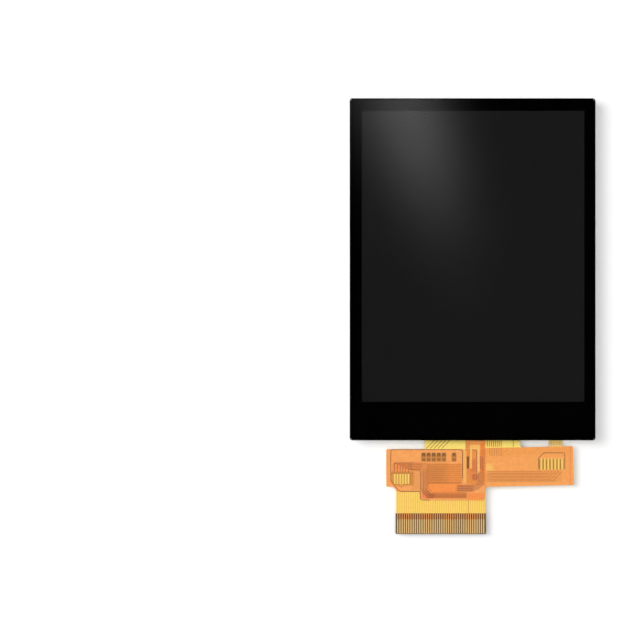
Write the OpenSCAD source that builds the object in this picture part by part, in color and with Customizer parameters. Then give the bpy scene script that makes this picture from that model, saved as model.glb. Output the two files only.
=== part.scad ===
// A 3.2-inch colour TFT display module with a bonded capacitive touch panel, an
// edge-lit backlight in a moulded frame and a steel tray, and three flexible
// circuits. It lies on its back, face up.
// X runs across the screen, Y up the screen and Z out of its face. The origin is
// on the rear tray's outer face, behind the middle of the cover glass.

/* [Active area] */
// Width of the area of pixels
active_w = 48.6; // [40:0.1:60]
// Height of the area of pixels
active_h = 64.8; // [50:0.1:80]
// Sideways shift of the pixels from the middle of the cover glass
active_shift = 0.15; // [-0.3:0.05:0.3]

/* [Cover glass] */
// Glass beyond the pixels at the left and right
side_border = 3.5; // [3.4:0.05:8]
// Glass beyond the pixels at the top
top_border = 3.35; // [3.25:0.05:8]
// Glass beyond the pixels at the tail end, over the driver and the bonds
tail_border = 9.25; // [8.8:0.05:14]
// Thickness of the cover glass
glass_t = 1.1; // [0.7:0.05:2]
// Radius of the corners of the cover glass
glass_corner_r = 0.6; // [0.4:0.1:2]
// Ground chamfer round both faces of the cover glass
glass_chamfer = 0.12; // [0.05:0.01:0.3]
// Clear window beyond the pixels at the left and right
window_margin_x = 0.9; // [0.4:0.05:1.2]
// Clear window beyond the pixels at the top and the tail end
window_margin_y = 0.55; // [0.4:0.05:1.2]
// Thickness of the black print behind the glass
print_t = 0.02; // [0.01:0.01:0.05]
// Bare glass between the print and the edge
print_inset = 0.06; // [0.02:0.01:0.2]

/* [Touch panel] */
// Thickness of the clear adhesive behind the cover glass
adhesive_t = 0.15; // [0.1:0.01:0.3]
// Thickness of the laminated sensor film
sensor_t = 0.25; // [0.15:0.01:0.7]
// Step from the edge of the cover glass in to the sensor film
sensor_inset = 0.4; // [0.3:0.05:0.8]
// Thickness of the foam gasket between the touch panel and the display
gasket_t = 0.3; // [0.2:0.05:0.6]
// Clear edge from the window out to the gasket
gasket_clear = 0.4; // [0.2:0.05:0.5]

/* [Liquid crystal cell] */
// Thickness of each of the two glasses of the cell
cell_glass_t = 0.4; // [0.3:0.05:0.7]
// Thickness of each polariser
polariser_t = 0.14; // [0.1:0.01:0.25]
// Cell glass beyond the pixels at the left, right and top
cell_margin = 2.2; // [1.8:0.05:2.25]
// Upper glass beyond the pixels at the tail end
seal_margin = 2.6; // [2.2:0.05:3]
// Bare ledge of the lower glass that carries the driver and the flex bond
ledge = 4.2; // [3.6:0.05:4.5]
// Polariser beyond the pixels on all sides
polariser_margin = 1.6; // [1.3:0.05:1.7]
// Length of the driver chip
driver_len = 18; // [10:0.5:24]
// Width of the driver chip
driver_w = 0.9; // [0.6:0.05:1.2]
// Height of the driver chip
driver_t = 0.28; // [0.2:0.01:0.35]

/* [Backlight] */
// Thickness of the light guide
guide_t = 0.6; // [0.55:0.05:1]
// Light guide and films beyond the pixels at the left, right and top
guide_margin = 1.3; // [1:0.05:1.6]
// Light guide and films beyond the pixels at the tail end
guide_tail = 3; // [2.4:0.05:3.2]
// Thickness of the reflector film
reflector_t = 0.1; // [0.06:0.01:0.2]
// Thickness of the diffuser and of each prism film
film_t = 0.08; // [0.05:0.01:0.15]
// Thickness of the light-tight rim tape under the cell
rim_tape_t = 0.06; // [0.04:0.01:0.12]
// Number of white lamps along the tail end
lamp_count = 6; // [3:1:8]
// Width of one lamp
lamp_w = 3; // [2:0.1:4]
// Depth of one lamp, along the light
lamp_d = 0.6; // [0.5:0.05:0.7]
// Height of one lamp
lamp_t = 0.5; // [0.3:0.05:0.55]

/* [Frame and tray] */
// Step from the edge of the cover glass in to the outside of the tray
housing_inset = 0.2; // [0.1:0.05:0.3]
// Thickness of the tray's steel sheet
tray_t = 0.2; // [0.15:0.01:0.25]
// Height of the tray's flanges above the rest plane
flange_h = 1.5; // [1.4:0.05:1.6]
// Outside radius of the tray's bends
tray_bend_r = 0.4; // [0.3:0.05:0.6]
// Length of the notch that parts the flanges at each corner
corner_relief = 1.6; // [1:0.1:3]
// Length of a catch lug on the frame
lug_len = 3; // [2:0.1:4]
// Height of a catch lug
lug_h = 0.4; // [0.3:0.05:0.45]
// Number of lugs on each long side
side_lugs = 3; // [2:1:4]
// Number of lugs at the top end
top_lugs = 2; // [1:1:3]

/* [Display flex] */
// Number of contacts on the tail
contact_count = 40; // [36:1:44]
// Pitch of the contacts
contact_pitch = 0.5; // [0.4:0.05:0.5]
// Width of one contact finger
contact_w = 0.3; // [0.2:0.01:0.35]
// Exposed length of the contact fingers
contact_len = 3.3; // [3:0.1:4]
// Thickness of the stiffener behind the contacts
stiffener_t = 0.2; // [0.1:0.01:0.3]
// Length of the stiffener
stiffener_len = 4.7; // [4.5:0.1:7]
// Right edge of the contacts' end of the tail, from the centre line
tail_right = 3.1; // [2.9:0.05:4.5]
// Reach of the tail beyond the cover glass
tail_reach = 21.3; // [20:0.1:40]
// Step in from the contacts' end to the rest of the tail, each side
tail_step = 0.15; // [0.1:0.01:0.2]
// Thickness of the base film
flex_t = 0.08; // [0.05:0.01:0.1]
// Thickness of the second layer over the wide body
flex_cover_t = 0.05; // [0.03:0.01:0.06]
// Height of the copper tracks and pads
track_t = 0.02; // [0.01:0.01:0.03]
// Width of the neck that leaves the cell
neck_w = 21.7; // [20:0.1:24]
// Length of the neck's bond on the cell
bond_len = 1.3; // [1:0.05:1.5]
// Gap from the cover glass to the wide body
body_gap = 2.05; // [2:0.05:3]
// Shoulder of the wide body, beyond the tail's left edge
shoulder = 2.1; // [1.6:0.1:4]
// Height of the wide body
body_h = 8.55; // [8:0.05:10]
// Second layer below the body, at the root of the tail
cover_drop = 1; // [0.6:0.05:1.5]
// Length of the arm that takes the lamps' circuit, beyond the tail
arm_len = 19.9; // [19.2:0.1:22]
// Slant of the arm from square, in degrees
arm_tilt = 1.2; // [0:0.1:2]
// Number of pads on the arm
lamp_pad_count = 7; // [4:1:7]
// Number of multilayer capacitors behind the body
capacitor_count = 5; // [2:1:5]

/* [Touch flex] */
// Thickness of the touch flex
touch_flex_t = 0.1; // [0.06:0.01:0.12]
// Thickness of the tape that holds the two circuits together
flex_tape_t = 0.05; // [0.04:0.01:0.1]
// Width of the touch flex's neck
touch_neck_w = 4.4; // [4.2:0.1:5]
// Step in from the tail's right edge to the touch flex's
touch_step = 0.25; // [0.2:0.05:0.5]
// Length of the touch flex's bond on the sensor
touch_bond_len = 1.6; // [1.2:0.1:2]
// Width of the slot between the neck and the body
touch_slot = 0.6; // [0.4:0.05:0.8]
// Depth of that slot
touch_slot_len = 7.6; // [7:0.1:8]
// Step in from the display flex's left edge to the touch flex's
touch_margin = 0.95; // [0.8:0.05:1.2]
// Width of the touch flex's left end, beside its body over the tail
touch_end_w = 6.7; // [6:0.1:7]
// Height of the touch flex's left end
touch_end_h = 9.6; // [9.2:0.1:10]
// Height of the touch flex's body over the tail
touch_body_h = 11.55; // [11:0.05:12.5]
// Number of pads on the touch flex's left end
touch_pad_count = 6; // [4:1:6]
// Side of the square touch controller
controller_w = 3; // [2.5:0.1:3.1]
// Height of the touch controller
controller_t = 0.75; // [0.5:0.05:0.9]

/* [Lamp flex] */
// Thickness of the lamps' circuit
lamp_flex_t = 0.1; // [0.06:0.01:0.1]
// Width of the strip that carries the lamps
lamp_strip_w = 2.6; // [2.2:0.1:2.8]
// Width of the tab that leaves the backlight
tab_w = 3.1; // [2.5:0.1:4]
// Middle of the tab, from the centre line
tab_x = 18.95; // [18:0.05:19.5]
// Width of the tab's soldered end
tab_end_w = 5.9; // [5.6:0.1:6.2]

/* [Hidden] */
$fn = 48;

// Clearances.
cell_gap = 0.1;        // cell to the frame's pocket
film_gap = 0.1;        // guide and films to the frame's pocket
lamp_gap = 0.05;       // lamp to its notch in the guide
flex_gap = 0.3;        // a circuit to the sides of the opening it passes
lug_gap = 0.15;        // catch lug to its window in the tray
part_gap = 0.3;        // parts under the touch flex to the opening round them
bleed = 0.01;          // overrun of a cut past the face that it opens
arc_steps = 6;         // chords in one rounded corner of a circuit's outline
bend_steps = 8;        // chords in one bend of a circuit

// Outline of the cover glass, and the middle of the pixels.
glass_w = active_w + 2 * side_border;
glass_h = active_h + top_border + tail_border;
edge = -glass_h / 2;
active_y = glass_h / 2 - top_border - active_h / 2;
active_tail = active_y - active_h / 2;
active_top = active_y + active_h / 2;

// Outside of the tray and of the frame in it.
tray_x = glass_w / 2 - housing_inset;
tray_y = glass_h / 2 - housing_inset;
frame_x = tray_x - tray_t;
frame_y = tray_y - tray_t;

// The cell, and the guide and films under it.
cell_x = active_w / 2 + cell_margin;
cell_top = active_top + cell_margin;
seal_y = active_tail - seal_margin;
ledge_y = seal_y - ledge;
guide_x = active_w / 2 + guide_margin;
guide_top = active_top + guide_margin;
guide_y = active_tail - guide_tail;
lamp_overhang = 0.15;
lamp_recess = lamp_d - lamp_overhang;
strip_top = guide_y + lamp_recess + lamp_overhang;
strip_y = strip_top - lamp_strip_w;
lamp_pitch = 2 * guide_x / lamp_count;
rim_lap = 0.5;
rim_clear = 0.8;

// The stack, from the rest plane up.
reflector_z = tray_t;
guide_z = reflector_z + reflector_t;
diffuser_z = guide_z + guide_t;
lower_prism_z = diffuser_z + film_t;
upper_prism_z = lower_prism_z + film_t;
rim_z = upper_prism_z + film_t;
rear_polariser_z = rim_z + rim_tape_t;
array_z = rear_polariser_z + polariser_t;
ledge_z = array_z + cell_glass_t;
front_polariser_z = ledge_z + cell_glass_t;
gasket_z = front_polariser_z + polariser_t;
sensor_z = gasket_z + gasket_t;
adhesive_z = sensor_z + sensor_t;
print_z = adhesive_z + adhesive_t;
glass_z = print_z + print_t;

// Catch lugs, half way up the flanges.
lug_z = (tray_bend_r + flange_h) / 2;

// The display flex, from the ledge out.
flex_z = ledge_z;
track_z = flex_z + flex_t;
cover_top_z = track_z + flex_cover_t;
contact_end_w = (contact_count + 1) * contact_pitch;
contact_end_left = tail_right - contact_end_w;
tail_left = contact_end_left + tail_step;
tail_side = tail_right - tail_step;
tail_end = edge - tail_reach;
contact_margin = 0.12;
contact_top = tail_end + contact_len;
step_y = tail_end + stiffener_len;
body_left = contact_end_left - shoulder;
body_top = edge - body_gap;
body_bottom = body_top - body_h;
cover_bottom = body_bottom - cover_drop;
arm_rise = 0.25;
arm_h = body_h + arm_rise;
shoulder_r = 1.1;
arm_fillet_r = 0.7;
neck_fillet_r = 0.8;
corner_r = 0.25;

// The touch flex, over the display flex.
touch_z = cover_top_z + flex_tape_t;
touch_top_z = touch_z + touch_flex_t;
touch_right = tail_right - touch_step;
touch_neck_x = touch_right - touch_neck_w / 2;
touch_neck_left = touch_right - touch_neck_w;
touch_body_right = touch_neck_left - touch_slot;
touch_left = body_left + touch_margin;
touch_body_left = touch_left + touch_end_w;
touch_top = body_top - 0.05;
touch_end_bottom = touch_top - touch_end_h;
touch_bottom = touch_top - touch_body_h;
slot_bottom = touch_top - touch_slot_len;
touch_slope = [1.9, 2.4];
touch_corner_r = 0.7;
touch_slope_r = 0.5;
touch_foot_r = 0.9;
touch_bend = 35;
touch_rise = sensor_z - touch_flex_t - touch_z;
touch_bend_run = bend_run(touch_rise, touch_bend);
touch_bend_y = body_top + 0.3;
touch_bond_top = edge + sensor_inset + touch_bond_len;

// The opening in the display flex for the parts under the touch flex.
small_part = [1, 0.5, 0.5];
small_part_gap = 0.35;
controller_drop = 6.6;
controller_y = body_top - controller_drop;
small_part_y = controller_y - controller_w / 2 - small_part_gap - small_part[1] / 2;
well_w = controller_w + 2 * part_gap;
well_top = controller_y + controller_w / 2 + part_gap;
well_bottom = small_part_y - small_part[1] / 2 - part_gap;

// The lamps' circuit, from the strip out to the back of the arm.
tab_bend = 60;
tab_rise = flex_z - lamp_flex_t - tray_t;
tab_bend_y = 0.1 - tray_y;
tab_end_shift = 0.95;
tab_end_x = tab_x - tab_end_shift;
tab_end_top = tab_bend_y - bend_run(tab_rise, tab_bend) - 0.05;
tab_end_h = 4.8;
tab_chamfer = 1.3;

// Pads: bare metal bars on the circuits.
lamp_pad_pitch = 0.785;
lamp_pad = [0.4, 2.6];
lamp_pad_drop = 3.2;
lamp_pad_y = tab_end_top - lamp_pad_drop;
touch_pad_pitch = 0.62;
touch_pad = [0.34, 2.3];
touch_pad_inset = [2.5, 6.7];
touch_pad_x = touch_left + touch_pad_inset[0];
touch_pad_y = touch_top - touch_pad_inset[1];

// Copper lines: their widths, the pitch from line to line, and where they start.
neck_line_w = 0.14;
neck_line_pitch = 0.88;
slanted_lines = 5;
slanted_start = 0.4;
straight_lines = 8;
straight_start = 0.32;
lone_line = 5.82;
tail_line_w = 0.16;
arm_line_w = 0.14;
arm_line_pitch = 0.36;
arm_line_drop = 0.3;
arm_line_turn = 0.25;
touch_line_w = 0.12;
touch_line_pitch = 0.26;
touch_line_slant = 0.7;
touch_line_rise = 2.2;
touch_line_inset = 2;
touch_line_foot = 0.5;
pad_gap = 0.1;
tape_inset = 0.4;

// Multilayer capacitors behind the display flex.
capacitor = [0.8, 1.6, 0.8];
capacitor_pitch = 1.15;
capacitor_inset = 6.2;
capacitor_x = tail_left + capacitor_inset;
capacitor_drop = 1.9;
capacitor_y = body_top - capacitor_drop;
lone_capacitor_x = capacitor_x + (capacitor_count + 1) * capacitor_pitch;

// Mean radius and length of a bend that turns by an angle and back over a rise.
function bend_radius(rise, angle) = rise / (2 * (1 - cos(angle)));
function bend_run(rise, angle) = 2 * bend_radius(rise, angle) * sin(angle);

// Middle line of such a bend, as [x, y, heading] points, level before and after.
function bend_line(rise, angle, before, after) =
    let (r = bend_radius(rise, angle), run = bend_run(rise, angle))
    concat(
        [[-before, 0, 0]],
        [for (i = [0:bend_steps]) let (a = angle * i / bend_steps)
            [r * sin(a), r * (1 - cos(a)), a]],
        [for (i = [bend_steps - 1:-1:0]) let (a = angle * i / bend_steps)
            [run - r * sin(a), rise - r * (1 - cos(a)), a]],
        [[run + after, rise, 0]]
    );

// One side of a line of [x, y, heading] points, a distance d to its left.
function beside(line, d) =
    [for (p = line) [p[0] - d * sin(p[2]), p[1] + d * cos(p[2])]];

function backwards(points) = [for (i = [len(points) - 1:-1:0]) points[i]];

// Points of one corner, rounded to the radius in its third number.
function corner_arc(before, at, after) =
    let (
        to_before = unit([before[0] - at[0], before[1] - at[1]]),
        to_after = unit([after[0] - at[0], after[1] - at[1]]),
        half = acos(to_before * to_after) / 2,
        centre = [at[0], at[1]] + unit(to_before + to_after) * at[2] / sin(half),
        start = [at[0], at[1]] + to_before * at[2] / tan(half) - centre,
        turn = (to_before[0] * to_after[1] - to_before[1] * to_after[0] > 0 ? 1 : -1)
            * (2 * half - 180)
    )
    at[2] == 0 ? [[at[0], at[1]]]
        : [for (i = [0:arc_steps]) centre + turned(start, turn * i / arc_steps)];

function unit(v) = v / norm(v);
function turned(v, angle) =
    [v[0] * cos(angle) - v[1] * sin(angle), v[0] * sin(angle) + v[1] * cos(angle)];

// An outline given as [x, y, corner radius] points, as plain points.
function rounded(corners) =
    let (n = len(corners))
    [for (i = [0:n - 1])
        each corner_arc(corners[(i + n - 1) % n], corners[i], corners[(i + 1) % n])];

// A box between two corners.
module span(low, high) {
    translate(low) cube(high - low);
}

// A flat rectangle between two corners.
module span_2d(low, high) {
    translate(low) square(high - low);
}

// A flat rectangle round the origin with rounded corners.
module rounded_rect(w, h, r) {
    square([w - 2 * r, h], center = true);
    square([w, h - 2 * r], center = true);
    for (x = [-1, 1], y = [-1, 1])
        translate([x * (w / 2 - r), y * (h / 2 - r)]) circle(r);
}

// A slab on the XY plane with rounded corners and a chamfer round each face.
module chamfered_slab(w, h, t, r, low, high) {
    for (side = [[w, h, 0], [h, w, 90]])
        rotate([90, 0, side[2]])
            linear_extrude(side[1] - 2 * r, center = true)
                polygon([
                    [-side[0] / 2 + low, 0], [side[0] / 2 - low, 0],
                    [side[0] / 2, low], [side[0] / 2, t - high],
                    [side[0] / 2 - high, t], [-side[0] / 2 + high, t],
                    [-side[0] / 2, t - high], [-side[0] / 2, low]
                ]);
    for (x = [-1, 1], y = [-1, 1])
        translate([x * (w / 2 - r), y * (h / 2 - r), 0]) {
            if (low > 0) cylinder(h = low, r1 = r - low, r2 = r);
            translate([0, 0, low]) cylinder(h = t - low - high, r = r);
            if (high > 0) translate([0, 0, t - high]) cylinder(h = high, r1 = r, r2 = r - high);
        }
}

// Everything about the pixels is shifted with them.
module on_active() {
    translate([active_shift, 0, 0]) children();
}

// A film in the XY plane, between two edges in Y, centred on the pixels.
module film(half_w, low_y, high_y, z, t) {
    on_active() span([-half_w, low_y, z], [half_w, high_y, z + t]);
}

// A sheet of width w that runs level towards -Y, rises in a double bend that
// starts at the origin, and runs level again. Its underside starts at Z = 0.
module stepped_sheet(rise, angle, t, w, before, after) {
    line = bend_line(rise, angle, before, after);
    translate([0, 0, t / 2]) rotate([90, 0, -90])
        linear_extrude(w, center = true)
            polygon(concat(beside(line, -t / 2), backwards(beside(line, t / 2))));
}

// A copper track of width w along points, with round joints.
module track(points, w) {
    for (i = [0:len(points) - 2]) {
        way = points[i + 1] - points[i];
        translate(points[i]) rotate(atan2(way[1], way[0]))
            translate([0, -w / 2]) square([norm(way), w]);
    }
    for (i = [1:1:len(points) - 2])
        translate(points[i]) circle(w / 2, $fn = 16);
}

// ---- Touch panel ----

module cover_glass() {
    color("#0b0c0e")
        translate([0, 0, glass_z])
            chamfered_slab(glass_w, glass_h, glass_t, glass_corner_r,
                glass_chamfer, glass_chamfer);
}

module window_2d(margin) {
    translate([active_shift, active_y])
        square([
            active_w + 2 * (window_margin_x + margin),
            active_h + 2 * (window_margin_y + margin)
        ], center = true);
}

module border_print() {
    inset = glass_chamfer + print_inset;
    color("#050505")
        translate([0, 0, print_z]) linear_extrude(print_t)
            difference() {
                rounded_rect(glass_w - 2 * inset, glass_h - 2 * inset,
                    glass_corner_r - inset / 2);
                window_2d(0);
            }
}

// The adhesive fills the window in the print as well.
module sensor_adhesive() {
    inset = sensor_inset + 0.1;
    color("#c8d0d4") {
        translate([0, 0, adhesive_z])
            linear_extrude(adhesive_t)
                rounded_rect(glass_w - 2 * inset, glass_h - 2 * inset, glass_corner_r);
        translate([0, 0, print_z]) linear_extrude(print_t) window_2d(0);
    }
}

module touch_sensor() {
    color("#9aa4a8")
        translate([0, 0, sensor_z])
            linear_extrude(sensor_t)
                rounded_rect(glass_w - 2 * sensor_inset, glass_h - 2 * sensor_inset,
                    glass_corner_r);
}

// A foam ring with a bay over the driver and a gap for the touch flex.
module panel_gasket() {
    color("#1a1a1a")
        translate([0, 0, gasket_z]) linear_extrude(gasket_t)
            difference() {
                rounded_rect(2 * (frame_x - cell_gap), 2 * (frame_y - cell_gap), 0.5);
                window_2d(gasket_clear);
                span_2d([-cell_x + active_shift, ledge_y], [cell_x + active_shift, seal_y]);
                span_2d([touch_neck_left - flex_gap, edge],
                    [touch_right + flex_gap, ledge_y + bleed]);
            }
}

// ---- Liquid crystal cell ----

module front_polariser() {
    color("#1b1b1d")
        film(active_w / 2 + polariser_margin, active_tail - polariser_margin,
            active_top + polariser_margin, front_polariser_z, polariser_t);
}

module colour_filter_glass() {
    color("#3c4a4c") film(cell_x, seal_y, cell_top, ledge_z, cell_glass_t);
}

module array_glass() {
    color("#46565a") film(cell_x, ledge_y, cell_top, array_z, cell_glass_t);
}

module driver_chip() {
    y = (seal_y + ledge_y + bond_len) / 2;
    color("#2b2b30")
        film(driver_len / 2, y - driver_w / 2, y + driver_w / 2, ledge_z, driver_t);
}

module rear_polariser() {
    color("#2a2a2c")
        film(active_w / 2 + polariser_margin, active_tail - polariser_margin,
            active_top + polariser_margin, rear_polariser_z, polariser_t);
}

// ---- Backlight ----

// The tape laps from the frame's ledge on to the films.
module rim_tape() {
    pocket_x = guide_x + film_gap;
    color("#161616")
        difference() {
            film(pocket_x + rim_lap, strip_y - film_gap - rim_lap,
                guide_top + film_gap + rim_lap, rim_z, rim_tape_t);
            film(active_w / 2 + rim_clear, active_tail - rim_clear, active_top + rim_clear,
                rim_z - bleed, rim_tape_t + 2 * bleed);
        }
}

module upper_prism_film() {
    color("#dfe3e6") film(guide_x, guide_y, guide_top, upper_prism_z, film_t);
}

module lower_prism_film() {
    color("#d4d9dd") film(guide_x, guide_y, guide_top, lower_prism_z, film_t);
}

module diffuser_film() {
    color("#f2f2ee") film(guide_x, guide_y, guide_top, diffuser_z, film_t);
}

module at_lamps() {
    on_active()
        for (i = [0:lamp_count - 1])
            translate([(i - (lamp_count - 1) / 2) * lamp_pitch, guide_y + lamp_recess - lamp_d, 0])
                children();
}

// A clear plate with a notch for each lamp in its tail edge.
module light_guide() {
    color("#e6f0f2")
        difference() {
            film(guide_x, guide_y, guide_top, guide_z, guide_t);
            at_lamps()
                translate([-lamp_w / 2 - lamp_gap, -1, guide_z - bleed])
                    cube([lamp_w + 2 * lamp_gap, lamp_d + lamp_gap + 1, guide_t + 2 * bleed]);
        }
}

module reflector_film() {
    color("#f7f7f4")
        film(guide_x, strip_top + film_gap, guide_top, reflector_z, reflector_t);
}

module lamps() {
    color("#f4e9a8")
        at_lamps()
            translate([-lamp_w / 2, 0, tray_t + lamp_flex_t]) cube([lamp_w, lamp_d, lamp_t]);
}

// The strip under the lamps, the tab that leaves the housing and rises, and the
// wide end that is soldered behind the arm.
module lamp_flex() {
    left = tab_end_x - tab_end_w / 2;
    right = tab_end_x + tab_end_w / 2;
    bottom = tab_end_top - tab_end_h;
    color("#e9a24e") {
        on_active() span([-guide_x, strip_y, tray_t], [guide_x, strip_top, tray_t + lamp_flex_t]);
        translate([tab_x, tab_bend_y, tray_t])
            stepped_sheet(tab_rise, tab_bend, lamp_flex_t, tab_w,
                strip_y + lamp_strip_w / 2 - tab_bend_y, tab_end_h / 2);
        translate([0, 0, flex_z - lamp_flex_t]) linear_extrude(lamp_flex_t)
            polygon(rounded([
                [left, bottom, corner_r], [right, bottom, corner_r],
                [right, tab_end_top, corner_r], [left + tab_chamfer, tab_end_top, 0],
                [left, tab_end_top - tab_chamfer, 0]
            ]));
    }
}

// ---- Frame and tray ----

// Puts its children at each catch lug: along +Y, with the outside towards -X.
module at_lugs() {
    for (side = [-1, 1], i = [0:side_lugs - 1])
        translate([side * frame_x, (i - (side_lugs - 1) / 2) * 2 * frame_y / (side_lugs + 0.4), 0])
            rotate(side > 0 ? 180 : 0) children();
    for (i = [0:top_lugs - 1])
        translate([(i - (top_lugs - 1) / 2) * 2 * frame_x / (top_lugs + 0.2), frame_y, 0])
            rotate(-90) children();
}

// A wedge that the flange rides over: flat on top, sloped below.
module lug() {
    rotate([90, 0, 0])
        linear_extrude(lug_len, center = true)
            polygon([
                [bleed, lug_z - lug_h / 2], [bleed, lug_z + lug_h / 2],
                [-tray_t, lug_z + lug_h / 2], [-tray_t, lug_z],
                [-tray_t / 4, lug_z - lug_h / 2]
            ]);
}

// A moulded ring with a deep pocket for the guide and films, a wider one for the
// cell, a low wall where the display flex passes, and a channel for the tab.
module backlight_frame() {
    color("#eceae4")
        difference() {
            union() {
                translate([0, 0, tray_t])
                    chamfered_slab(2 * frame_x, 2 * frame_y, gasket_z - tray_t, 0.5,
                        tray_bend_r - tray_t + 0.05, 0);
                at_lugs() lug();
            }
            film(guide_x + film_gap, strip_y - film_gap, guide_top + film_gap,
                tray_t - bleed, rim_z - tray_t + 2 * bleed);
            film(cell_x + cell_gap, ledge_y - cell_gap, cell_top + cell_gap, rim_z, glass_z);
            span([-neck_w / 2 - flex_gap, edge, flex_z],
                [neck_w / 2 + flex_gap, ledge_y, glass_z]);
            span([tab_x - tab_w / 2 - flex_gap, edge, tray_t - bleed],
                [tab_x + tab_w / 2 + flex_gap, strip_y, tray_t + lamp_flex_t + bleed]);
        }
}

// One folded flange with its bend, along Y, with the outside towards -X and the
// outer face on the Z axis.
module flange(length) {
    rotate([90, 0, 0]) linear_extrude(length, center = true) {
        translate([0, tray_bend_r]) square([tray_t, flange_h - tray_bend_r]);
        translate([tray_bend_r, tray_bend_r]) intersection() {
            difference() {
                circle(tray_bend_r);
                circle(tray_bend_r - tray_t);
            }
            translate([-tray_bend_r, -tray_bend_r]) square(tray_bend_r);
        }
        translate([tray_bend_r, 0]) square([bleed, tray_t]);
    }
}

// A pressed steel tray: a flat back, a flange on each side, a window for each
// lug, and a gap in the tail flange for the lamps' tab.
module rear_tray() {
    flange_x = 2 * (tray_y - corner_relief);
    flange_y = 2 * (tray_x - corner_relief);
    color("#b9bcbf")
        difference() {
            union() {
                linear_extrude(tray_t)
                    rounded_rect(2 * (tray_x - tray_bend_r), 2 * (tray_y - tray_bend_r), 0.4);
                for (turn = [0, 180])
                    rotate(turn) translate([-tray_x, 0, 0]) flange(flange_x);
                for (turn = [-90, 90])
                    rotate(turn) translate([-tray_y, 0, 0]) flange(flange_y);
            }
            at_lugs()
                translate([-2 * tray_t, -lug_len / 2 - lug_gap, lug_z - lug_h / 2 - lug_gap])
                    cube([3 * tray_t, lug_len + 2 * lug_gap, lug_h + 2 * lug_gap]);
            span([tab_x - tab_w / 2 - flex_gap, -tray_y - 1, tray_t],
                [tab_x + tab_w / 2 + flex_gap, -tray_y + 2 * tray_bend_r, flange_h + 1]);
        }
}

// ---- Display flex ----

// The slanted arm, from inside the tail to its far end.
module arm_2d() {
    translate([tail_side, body_top + arm_rise]) rotate(arm_tilt)
        polygon(rounded([
            [-2, -arm_h, 0], [arm_len, -arm_h, corner_r], [arm_len, 0, corner_r], [-2, 0, 0]
        ]));
}

// The wide body down to a given edge, with its shoulder and its arm.
module body_2d(bottom) {
    polygon(rounded([
        [body_left, body_bottom, corner_r], [tail_left, body_bottom, shoulder_r],
        [tail_left, bottom, 0], [tail_side, bottom, 0],
        [tail_side, body_top, 0], [body_left, body_top, corner_r]
    ]));
    arm_2d();
    inner_fillet([tail_side, body_bottom], [1, -1], arm_fillet_r);
}

// The fillet in the corner of two edges: way says which side of each it is on.
module inner_fillet(at, way, r) {
    translate(at) mirror([way[0] < 0 ? 1 : 0, 0]) mirror([0, way[1] < 0 ? 1 : 0])
        difference() {
            translate([-bleed, -bleed]) square(r + bleed);
            translate([r, r]) circle(r);
        }
}

// The opening round the parts that hang under the touch flex.
module well_2d() {
    translate([touch_neck_x, (well_top + well_bottom) / 2])
        rounded_rect(well_w, well_top - well_bottom, corner_r);
}

// The end that carries the contacts, a little wider than the rest of the tail.
module contact_end_2d() {
    polygon(rounded([
        [contact_end_left, tail_end, corner_r], [tail_right, tail_end, corner_r],
        [tail_right, step_y, 0], [contact_end_left, step_y, 0]
    ]));
}

module display_flex() {
    color("#f6c552")
        translate([0, 0, flex_z]) linear_extrude(flex_t)
            difference() {
                union() {
                    body_2d(step_y - bleed);
                    span_2d([-neck_w / 2, body_top - 1], [neck_w / 2, ledge_y + bond_len]);
                    contact_end_2d();
                    inner_fillet([neck_w / 2, body_top + arm_rise], [1, 1], neck_fillet_r);
                }
                well_2d();
            }
}

// The second copper layer and its film, over the body and the arm.
module display_flex_cover() {
    color("#f29a45")
        translate([0, 0, track_z]) linear_extrude(flex_cover_t)
            difference() {
                body_2d(cover_bottom);
                well_2d();
            }
}

// Slanted lines at the left of the neck and straight ones at the right.
module neck_tracks() {
    top = ledge_y + bond_len;
    low = body_top + arm_rise + flex_gap;
    beside_touch = touch_right + flex_gap + straight_start;
    straight = [for (i = [0:straight_lines - 1]) beside_touch + i * neck_line_pitch / 2];
    color("#a8801f")
        translate([0, 0, track_z]) linear_extrude(track_t) {
            for (i = [0:slanted_lines - 1])
                let (x = slanted_start - neck_w / 2 + i * neck_line_pitch)
                    track([
                        [x, body_top + neck_line_w], [x + body_gap, edge + neck_line_w],
                        [x + body_gap, top]
                    ], neck_line_w);
            for (x = concat(straight, [beside_touch + lone_line]))
                translate([x - neck_line_w / 2, low]) square([neck_line_w, top - low]);
        }
}

module at_contacts() {
    for (i = [0:contact_count - 1])
        translate([contact_end_left + (i + 1) * contact_pitch, 0, 0]) children();
}

module tail_tracks() {
    color("#d9a63c")
        at_contacts()
            span([-tail_line_w / 2, contact_top, track_z],
                [tail_line_w / 2, cover_bottom, track_z + track_t]);
}

module contact_fingers() {
    color("#c9a25f")
        at_contacts()
            span([-contact_w / 2, tail_end + contact_margin, track_z],
                [contact_w / 2, contact_top, track_z + track_t]);
}

module tail_stiffener() {
    color("#6a3f22")
        translate([0, 0, flex_z - stiffener_t]) linear_extrude(stiffener_t) contact_end_2d();
}

module at_lamp_pads() {
    for (i = [0:lamp_pad_count - 1])
        translate([tab_end_x + (i - (lamp_pad_count - 1) / 2) * lamp_pad_pitch, 0, 0])
            children();
}

// Lines along the arm that turn up to its pads, the outer ones lowest.
module arm_tracks() {
    pad_end = lamp_pad_y - lamp_pad[1] / 2 - pad_gap;
    start = touch_right + 2 * flex_gap;
    color("#b7672a")
        translate([0, 0, cover_top_z]) linear_extrude(track_t)
            for (i = [0:lamp_pad_count - 1])
                let (
                    x = tab_end_x + (i - (lamp_pad_count - 1) / 2) * lamp_pad_pitch,
                    y = pad_end - arm_line_drop - i * arm_line_pitch,
                    drop = pad_end - y - arm_line_turn
                )
                    track([[start, y], [x - drop, y], [x, y + drop], [x, pad_end]], arm_line_w);
}

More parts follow.
